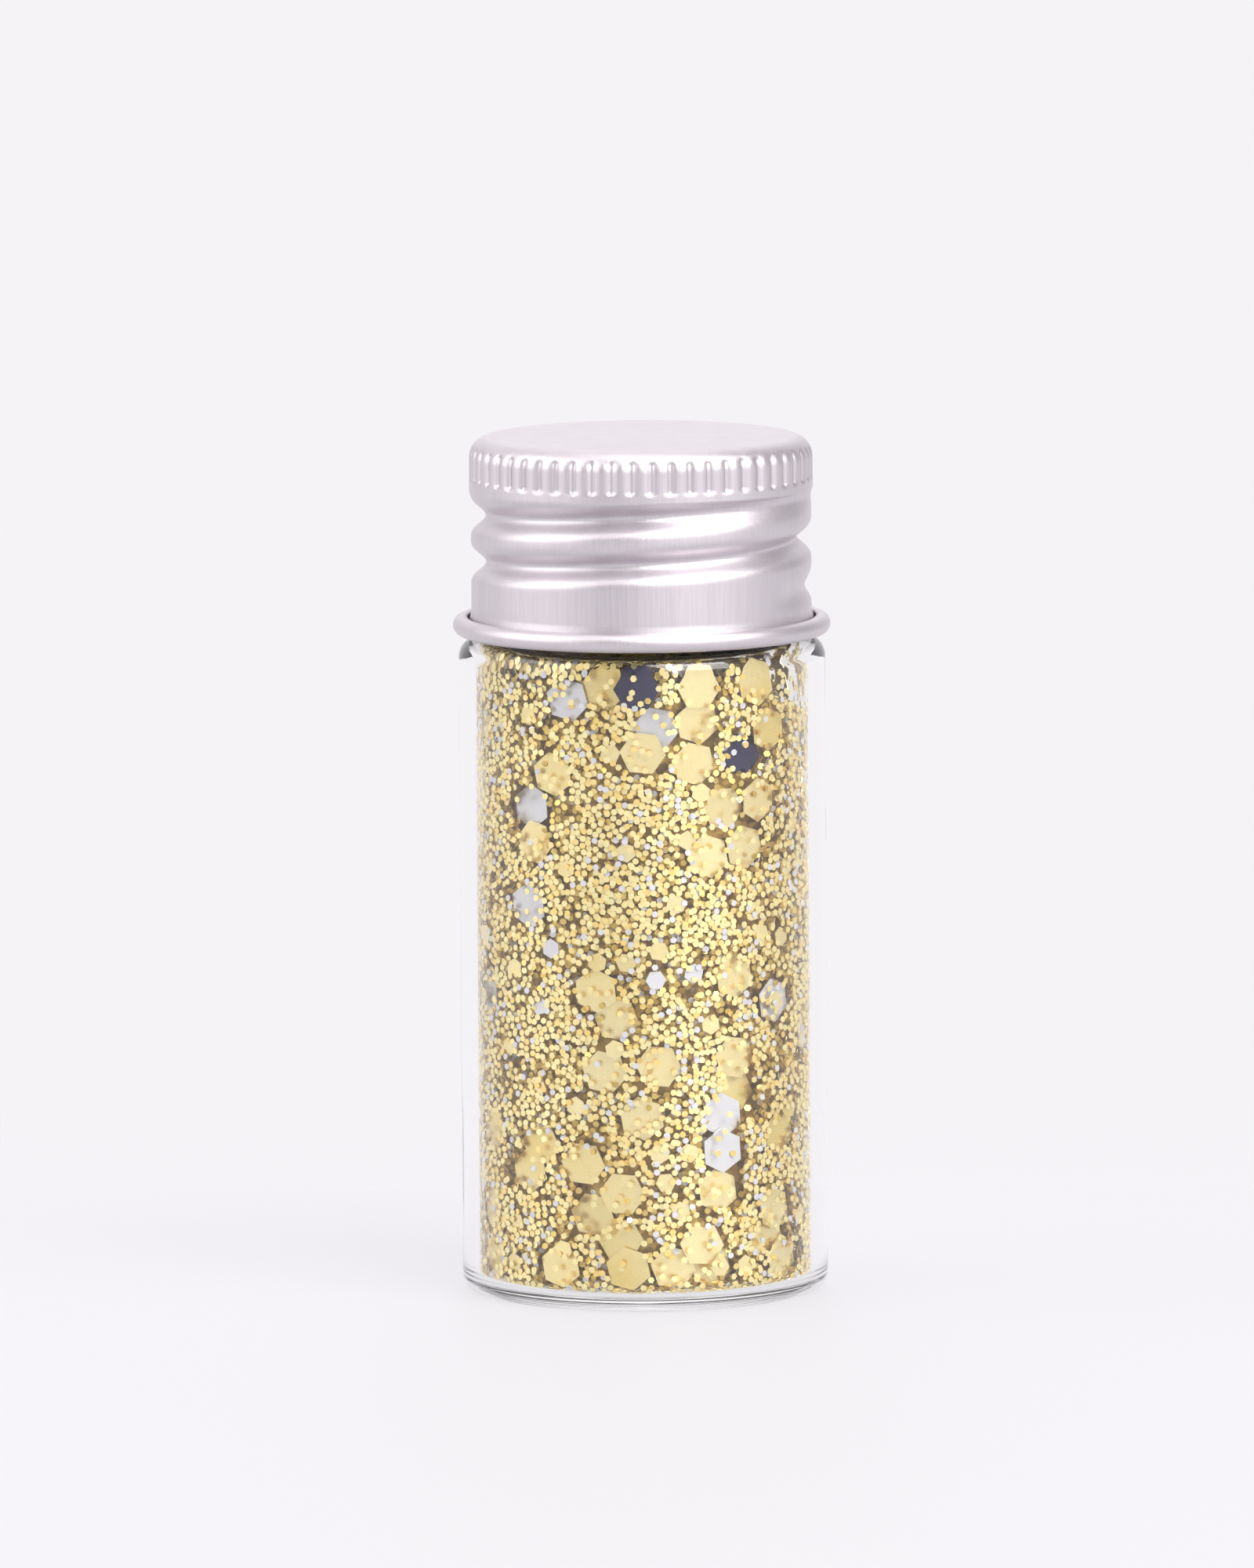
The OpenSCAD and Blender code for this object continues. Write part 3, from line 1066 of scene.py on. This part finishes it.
@dataclass
class Contents:
    """The loose fill: fine flakes in layers, the core behind them, and the large flakes of the frame."""

    bottle: Bottle
    films: ClassVar[dict[str, Film]] = {
        "gold_flakes_large": Film.LARGE_GOLD,
        "gold_flakes_medium": Film.LARGE_GOLD,
        "silver_flakes_large": Film.LARGE_SILVER,
        "silver_flakes_medium": Film.LARGE_SILVER,
        "dark_flakes_large": Film.DARK,
    }
    thickness: float = 0.03
    silver_share: float = 0.1
    slope_start: float = 3.5
    slope: float = 0.55
    sparse: float = 0.25
    clear: float = 0.15
    patch: float = 2.2
    throat_reach: float = 2.0
    core_inset: float = 1.2
    flakes_per_area: float = 2.4e7
    roof_gap: float = 0.1
    gold_split: float = 0.55
    floor_pitch: float = 1.5
    wall_pitch: float = 1.2
    neck_pitch: float = 0.4
    columns: int = 180
    layers: tuple[Layer, ...] = (
        Layer("front", 0.06, 0.33, 0.4, 2.5, 0.02, 11, 0.2, 0.25, Film.GOLD, False),
        Layer("second", 0.14, 0.35, 0.4, 6.0, 0.05, 23, 0.1, 0.2, Film.GOLD, False),
        # The middle and back layers take the gold film with painted shade.
        Layer("middle", 0.32, 0.36, 0.4, 25.0, 0.1, 31, 0.04, 0.6, Film.SHADED_GOLD),
        Layer("back", 0.6, 0.36, 0.42, 45.0, 0.25, 37, 0.0, 1.0, Film.SHADED_GOLD),
    )

    def fill_z(self, x: float, inset: float) -> float:
        """Height of the top of the fill: level, then falling towards +X.

        Args:
            x: distance from the axis along X.
            inset: how far inside the fill's own surface.

        Returns:
            The height.
        """
        drop = self.slope * max(0.0, x - self.slope_start)
        return self.bottle.roof_z - self.roof_gap - inset - drop

    def fill_section(self, inset: float) -> list[Point]:
        """The half section of the fill, closed at the top and the bottom.

        Args:
            inset: how far inside the glass.

        Returns:
            The points, from the middle of the floor outwards and up.
        """
        radius = self.bottle.inner_radius - inset
        floor = self.bottle.base + inset
        corner = self.bottle.inner_corner
        low = arc(radius - corner, floor + corner, corner, -90, 0, 15)
        top = self.fill_z(0, inset)
        return [
            (0.0, floor), *climb((0.0, floor), low[0], self.floor_pitch), *low,
            *climb(low[-1], (radius, top), self.wall_pitch), (radius, top),
            *[(radius * k / 8, top) for k in range(7, 0, -1)], (0.0, top),
        ]

    def fill_mesh(self, name: str, inset: float) -> bpy.types.Mesh:
        """The fill's surface, squeezed down where its top slopes.

        Args:
            name: the mesh's name.
            inset: how far inside the glass.

        Returns:
            The mesh.
        """
        top, floor = self.fill_z(0, inset), self.bottle.base + inset

        def height(x: float, y: float, z: float) -> float:
            """Height of a point after the slope is allowed for."""
            return floor + (z - floor) * (self.fill_z(x, inset) - floor) / (top - floor)

        return lathe(name, self.fill_section(inset), self.columns, height)

    def wall_mesh(self, name: str, inset: float) -> bpy.types.Mesh:
        """The inside of the glass, from the floor up into the neck.

        Args:
            name: the mesh's name.
            inset: how far inside the glass.

        Returns:
            The mesh.
        """
        b = self.bottle
        radius, floor, roof = b.inner_radius - inset, b.base + inset, b.roof_z - inset
        low = arc(radius - b.inner_corner, floor + b.inner_corner, b.inner_corner, -90, 0, 15)
        high = arc(radius - b.roof_round, roof - b.roof_round, b.roof_round, 0, 90, 20)
        throat = arc(b.bore + b.throat, b.roof_z + b.throat, b.throat + inset, 270, 180, 15)
        section = [
            (0.0, floor), *climb((0.0, floor), low[0], self.floor_pitch), *low,
            *climb(low[-1], high[0], self.wall_pitch), *high,
            *climb(high[-1], throat[0], self.neck_pitch), *throat,
            (b.bore - inset, roof + b.throat + self.throat_reach),
        ]
        return lathe(name, section, self.columns)

    @staticmethod
    def kept_share(t: GeometryTree, seed: Sock) -> Sock:
        """How many flakes stay at each place: few over large flakes, above the slope and in the gaps.

        Args:
            t: the tree, which gets the named inputs that this needs.
            seed: the seed.

        Returns:
            The share, between 0 and 1.
        """
        clear_far, clear_keep = t.named("Clear distance"), t.named("Clear keep")
        slope_x, slope_z, slope = (t.named(n) for n in ("Slope start", "Slope height", "Slope"))
        sparse, patch_size, patch_keep = (t.named(n) for n in ("Sparse keep", "Patch size", "Patch keep"))
        large = t.named("Large flakes", "NodeSocketObject")
        where = t.add("GeometryNodeInputPosition")
        x, _, z = t.axes(where)
        near = t.add("GeometryNodeObjectInfo", inputs={"Object": large}, output="Geometry")
        to_near = {0: near, "Sample Position": where}
        gap = t.add("GeometryNodeProximity", {"target_element": "FACES"}, to_near, "Distance")
        cleared = clear_keep + (1 - clear_keep) * (gap > clear_far)
        above = (x > slope_x) * (z > (slope_z - slope * (x - slope_x)))
        shift = t.vector("ADD", {0: where, 1: seed * 0.01})
        cloud = {"Vector": shift, "Scale": 1 / patch_size, "Detail": 2.0}
        packed = patch_keep + (1 - patch_keep) * t.add("ShaderNodeTexNoise", inputs=cloud).ramp(0.4, 0.52)
        return cleared * (1 - above * (1 - sparse)) * packed

    def scatter_tree(self) -> GeometryTree:
        """Geometry Nodes that lay hexagonal flakes over a guide surface.

        Returns:
            The tree, with sizes, lean, thinning, share and seed as named inputs.
        """
        t = GeometryTree("scatter_flakes")
        spacing, width, thick = t.named("Spacing"), t.named("Width"), t.named("Thickness")
        lean, depth, density = t.named("Lean"), t.named("Depth"), t.named("Density")
        share_low, share_high = t.named("Share from"), t.named("Share to")
        seed = t.named("Seed", "NodeSocketInt")
        material = t.named("Material", "NodeSocketMaterial")

        spread = {"Mesh": t.geometry(), "Distance Min": spacing, "Density Max": density, "Seed": seed,
                  "Density Factor": self.kept_share(t, seed)}
        evenly = {"distribute_method": "POISSON"}
        points = t.add("GeometryNodeDistributePointsOnFaces", evenly, spread, "Points")
        outputs = points.socket.node.outputs
        placed_at = t.stored(points, "QUATERNION", "facing", Sock(t, outputs["Rotation"]))
        placed_at = t.stored(placed_at, "FLOAT_VECTOR", "outwards", Sock(t, outputs["Normal"]))
        chosen = t.random("FLOAT", 0.0, 1.0, seed + 1)
        outside = (chosen < share_low).largest(1 - (chosen < share_high))
        unwanted = {"Geometry": placed_at, "Selection": outside}
        left = t.add("GeometryNodeDeleteGeometry", {"domain": "POINT"}, unwanted)
        inwards = t.random("FLOAT", -1.0, 0.0, seed + 2) * depth
        sunk = t.vector("SCALE", {0: t.read("FLOAT_VECTOR", "outwards"), "Scale": inwards})
        left = t.add("GeometryNodeSetPosition", inputs={"Geometry": left, "Offset": sunk})

        turned = t.random("FLOAT_VECTOR", (-1.0, -1.0, -1.0), (1.0, 1.0, 1.0), seed + 3)
        most = t.add("ShaderNodeCombineXYZ", inputs={0: lean, 1: lean, 2: math.pi})
        tilt = t.add("FunctionNodeEulerToRotation", inputs={0: t.vector("MULTIPLY", {0: turned, 1: most})})
        both = {0: t.read("QUATERNION", "facing"), 1: tilt}
        pose = t.add("FunctionNodeRotateRotation", {"rotation_space": "LOCAL"}, both)
        hexagon = {"Vertices": 6, "Radius": width / 2, "Depth": thick}
        flake = t.add("GeometryNodeMeshCylinder", {"fill_type": "NGON"}, hexagon)
        laid = {"Points": left, "Instance": flake, "Rotation": pose}
        flakes = t.add("GeometryNodeInstanceOnPoints", inputs=laid)
        tone = t.random("FLOAT", 0.0, 1.0, seed + 4)
        t.finish(t.stored(flakes, "FLOAT", "tone", tone, "INSTANCE"), material)
        return t

    def shadows(self, radius: float) -> bpy.types.Object:
        """All the frame's flakes pushed out to one radius, to show where fine flakes have to thin out.

        Args:
            radius: the radius.

        Returns:
            A guide object.
        """
        vertices: list[tuple[float, float, float]] = []
        faces: list[tuple[int, ...]] = []
        for name in self.films:
            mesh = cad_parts[name].data
            faces += [tuple(v + len(vertices) for v in p.vertices) for p in mesh.polygons]
            for v in mesh.vertices:
                scale = radius * MM / math.hypot(v.co.x, v.co.y)
                vertices.append((v.co.x * scale, v.co.y * scale, v.co.z))
        joined = bpy.data.meshes.new("flake_shadows")
        joined.from_pydata(vertices, [], faces)
        return linked("flake_shadows", joined)

    def values(self, layer: Layer, large: bpy.types.Object) -> dict[str, Any]:
        """The scatter tree's inputs for a layer.

        Args:
            layer: the layer.
            large: the guide object that shows where the large flakes are.

        Returns:
            Each input's name and value, but for the shares and the material.
        """
        return {
            "Spacing": layer.spacing * MM,
            "Width": layer.width * MM,
            "Thickness": self.thickness * MM,
            "Lean": math.radians(layer.lean),
            "Depth": layer.depth * MM,
            "Density": self.flakes_per_area,
            "Clear distance": self.clear * MM,
            "Clear keep": layer.over_large,
            "Slope start": self.slope_start * MM,
            "Slope height": self.fill_z(0, 0) * MM,
            "Slope": self.slope,
            "Sparse keep": self.sparse,
            "Patch size": self.patch * MM,
            "Patch keep": layer.patchy,
            "Seed": layer.seed,
            "Large flakes": large,
        }

    def build(self) -> None:
        """Make the fine flakes and the core, and finish the frame's large flakes."""
        made = {film: film.value.build() for film in Film}
        tree = self.scatter_tree()
        for layer in self.layers:
            large = self.shadows(self.bottle.inner_radius - layer.inset)
            surface = self.fill_mesh if layer.follows_fill else self.wall_mesh
            guide = linked(f"{layer.name}_guide", surface(f"{layer.name}_guide", layer.inset))
            values = self.values(layer, large)
            silver, gold = made[Film.SILVER], made[layer.film]
            # The gold is shared between two pieces, which keeps each under 200,000 triangles
            for low, high, material, kind in (
                (0.0, self.silver_share, silver, "silver"),
                (self.silver_share, self.gold_split, gold, "gold_a"),
                (self.gold_split, 1.0, gold, "gold_b"),
            ):
                shares = {"Share from": low, "Share to": high, "Material": material}
                piece = tree.run(guide, {**values, **shares}, f"fine_flakes_{layer.name}_{kind}")
                placed(piece, "vial", "silver_film" if kind == "silver" else "gold_film")
            removed(guide)
            removed(large)
        core = linked("flake_core", self.fill_mesh("flake_core", self.core_inset))
        dressed(core, PackedFlakes().build())
        placed(core, "vial", "flake_bed", ["flake_bulk"])
        for node, film in self.films.items():
            refinished(node, made[film])


# ---------------------------------------------------------------- studio


@dataclass
class Studio:
    """Plain pale surface, soft light from the right, and the camera."""

    distance: float = 1.1
    elevation: float = 6.95
    aim: tuple[float, float, float] = (-0.94, 0.0, 30.5)
    lit_point: tuple[float, float, float] = (0.0, 0.0, 20.0)
    roll: float = 0.35
    lens: float = 421.0
    floor_back: float = 0.089
    floor_reach: float = 0.6
    zenith: Colour = (1.9, 1.87, 1.9)
    low_light: tuple[Point, ...] = (
        (-180, 0.91), (-150, 0.86), (-130, 0.72), (-110, 0.80), (-90, 0.84), (-70, 0.80), (-50, 0.66),
        (-30, 0.50), (-10, 0.58), (5, 0.70), (20, 0.92), (35, 1.05), (60, 1.05), (80, 0.9), (95, 0.68),
        (110, 0.50), (125, 0.55), (140, 0.8), (160, 0.91), (180, 0.91),
    )
    high_light: tuple[Point, ...] = (
        (-180, 1.35), (-140, 0.9), (-100, 0.75), (-60, 0.55), (-45, 0.25), (-10, 0.22), (0, 0.6),
        (8, 1.6), (50, 1.6), (65, 0.8), (90, 0.35), (130, 0.4), (150, 0.9), (180, 1.35),
    )

    def camera(self) -> None:
        """A long lens, a little above the vial."""
        data = bpy.data.cameras.new("camera")
        data.lens = self.lens
        data.sensor_width = 36.0
        data.clip_end = 10.0
        shot = bpy.data.objects.new("camera", data)
        rise = math.radians(self.elevation)
        away = Vector((0, -math.cos(rise), math.sin(rise))) * self.distance
        shot.location = Vector(self.aim) * MM + away
        facing = Euler((math.pi / 2 - rise, 0, 0)).to_matrix()
        shot.rotation_euler = (facing @ Matrix.Rotation(math.radians(-self.roll), 3, "Z")).to_euler()
        bpy.context.scene.collection.objects.link(shot)
        bpy.context.scene.camera = shot

    def surface(self) -> None:
        """The pale surface, which ends a little behind the vial."""
        r, b = self.floor_reach, self.floor_back
        mesh = bpy.data.meshes.new("surface")
        mesh.from_pydata([(-r, -r, 0), (r, -r, 0), (r, b, 0), (-r, b, 0)], [], [(0, 1, 2, 3)])
        floor = dressed(linked("surface", mesh), PalePaper().build())

    def sky(self) -> None:
        """Soft light from all round, which changes with the direction."""
        world = bpy.data.worlds.new("studio")
        world.use_nodes = True
        world.node_tree.nodes.clear()
        t = Tree(world.node_tree)
        way = t.add("ShaderNodeTexCoord", output="Generated")
        x, y, z = t.axes(way)
        turn = x.math("ARCTAN2", y * -1.0) / TAU + 0.5
        low, high = (t.add("ShaderNodeValToRGB", {"stops": self.stops(levels)}, {"Fac": turn}, "Color")
                     for levels in (self.low_light, self.high_light))
        ground = self.stops(self.low_light[:1])[0][1]
        light = low
        for share, over in (
            (1 - z.ramp(-0.06, -0.02), (*ground, 1)),
            (z.ramp(0.15, 0.45), high),
            (z.ramp(0.9, 0.97), (*self.zenith, 1)),
        ):
            mixed = {"Factor": share, "A": light, "B": over}
            light = t.add("ShaderNodeMix", {"data_type": "RGBA"}, mixed, "Result")
        shine = t.add("ShaderNodeBackground", inputs={"Color": light, "Strength": 1.0})
        t.close("ShaderNodeOutputWorld", "Surface", shine)
        bpy.context.scene.world = world

    @staticmethod
    def stops(levels: Sequence[tuple[float, float]]) -> list[tuple[float, Colour]]:
        """Colour stops all round.

        Args:
            levels: (degrees from the camera, to the right; brightness).

        Returns:
            The stops, lilac where it is dim and neutral where it is bright.
        """
        return [(a / 360 + 0.5, (v, v * (0.94 + 0.045 * min(1.0, v)), v * 1.01)) for a, v in levels]

    def lamps(self) -> None:
        """A large soft lamp to the right, and a weaker one on the left."""
        for name, place, size, power in (
            ("right_softbox", (0.5, -0.6, 0.8), 0.8, 14.0),
            ("left_fill", (-1.0, -0.3, 0.7), 1.3, 9.0),
        ):
            lamp = bpy.data.lights.new(name, "AREA")
            lamp.color = (1.0, 0.985, 0.965)
            lamp.size = size
            lamp.energy = power
            holder = bpy.data.objects.new(name, lamp)
            holder.location = place
            towards = Vector(self.lit_point) * MM - Vector(place)
            holder.rotation_euler = towards.to_track_quat("-Z", "Y").to_euler()
            bpy.context.scene.collection.objects.link(holder)

    def build(self) -> None:
        """Set up the whole studio."""
        self.camera()
        self.surface()
        self.sky()
        self.lamps()
        scene = bpy.context.scene
        scene.view_settings.view_transform = "Standard"
        scene.cycles.use_denoising = True
        scene.cycles.max_bounces = 40
        scene.cycles.transmission_bounces = 24
        scene.cycles.glossy_bounces = 32
        scene.cycles.caustics_reflective = False
        scene.cycles.caustics_refractive = False


def main() -> None:
    """Build every part of the vial and the studio."""
    logging.basicConfig(level=logging.INFO, format="%(message)s")
    bottle = Bottle.from_frame()
    bottle.build()
    Cap.from_frame(bottle).build()
    Contents(bottle).build()
    refinished("sealing_disc", DiscFoam().build())
    Studio().build()


if __name__ == "__main__":
    main()
